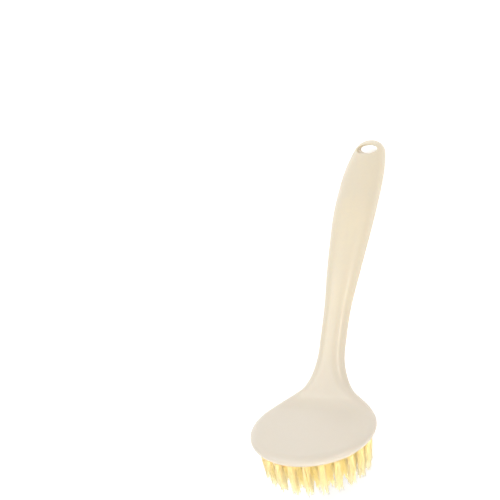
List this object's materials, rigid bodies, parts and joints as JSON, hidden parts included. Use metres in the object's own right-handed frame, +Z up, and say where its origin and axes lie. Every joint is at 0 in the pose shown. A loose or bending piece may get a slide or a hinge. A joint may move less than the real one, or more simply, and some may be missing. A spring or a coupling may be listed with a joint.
{
  "type": "cleaning brush",
  "caption": "Round scrubbing brush with a flat moulded head, rings of short stiff bristles and a long curved handle that ends in a slanted hanging eye.",
  "frame": {"origin": "centre of the brush's box on the surface that it lies on, head towards -X", "axes": "+Z up from the surface; +X along the brush from its head to the end of its handle; the brush is symmetric about the XZ plane, apart from the lie of single strands"},
  "size_m": [0.2566, 0.074, 0.0634],
  "materials": {
    "cream_plastic": "satin cream moulded plastic, solid colour",
    "yellow_bristle": "pale yellow nylon filaments, slightly translucent, soft sheen"
  },
  "bodies": {
    "root": {"brush_body": "cream_plastic", "tuft_outer_01": "yellow_bristle", "tuft_outer_02": "yellow_bristle", "tuft_outer_03": "yellow_bristle", "tuft_outer_04": "yellow_bristle", "tuft_outer_05": "yellow_bristle", "tuft_outer_06": "yellow_bristle", "tuft_outer_07": "yellow_bristle", "tuft_outer_08": "yellow_bristle", "tuft_outer_09": "yellow_bristle", "tuft_outer_10": "yellow_bristle", "tuft_outer_11": "yellow_bristle", "tuft_outer_12": "yellow_bristle", "tuft_outer_13": "yellow_bristle", "tuft_outer_14": "yellow_bristle", "tuft_outer_15": "yellow_bristle", "tuft_outer_16": "yellow_bristle", "tuft_outer_17": "yellow_bristle", "tuft_outer_18": "yellow_bristle", "tuft_outer_19": "yellow_bristle", "tuft_outer_20": "yellow_bristle", "tuft_outer_21": "yellow_bristle", "tuft_outer_22": "yellow_bristle", "tuft_second_01": "yellow_bristle", "tuft_second_02": "yellow_bristle", "tuft_second_03": "yellow_bristle", "tuft_second_04": "yellow_bristle", "tuft_second_05": "yellow_bristle", "tuft_second_06": "yellow_bristle", "tuft_second_07": "yellow_bristle", "tuft_second_08": "yellow_bristle", "tuft_second_09": "yellow_bristle", "tuft_second_10": "yellow_bristle", "tuft_second_11": "yellow_bristle", "tuft_second_12": "yellow_bristle", "tuft_second_13": "yellow_bristle", "tuft_second_14": "yellow_bristle", "tuft_second_15": "yellow_bristle", "tuft_second_16": "yellow_bristle", "tuft_third_01": "yellow_bristle", "tuft_third_02": "yellow_bristle", "tuft_third_03": "yellow_bristle", "tuft_third_04": "yellow_bristle", "tuft_third_05": "yellow_bristle", "tuft_third_06": "yellow_bristle", "tuft_third_07": "yellow_bristle", "tuft_third_08": "yellow_bristle", "tuft_third_09": "yellow_bristle", "tuft_third_10": "yellow_bristle", "tuft_inner_01": "yellow_bristle", "tuft_inner_02": "yellow_bristle", "tuft_inner_03": "yellow_bristle", "tuft_inner_04": "yellow_bristle"}
  },
  "joints": []
}
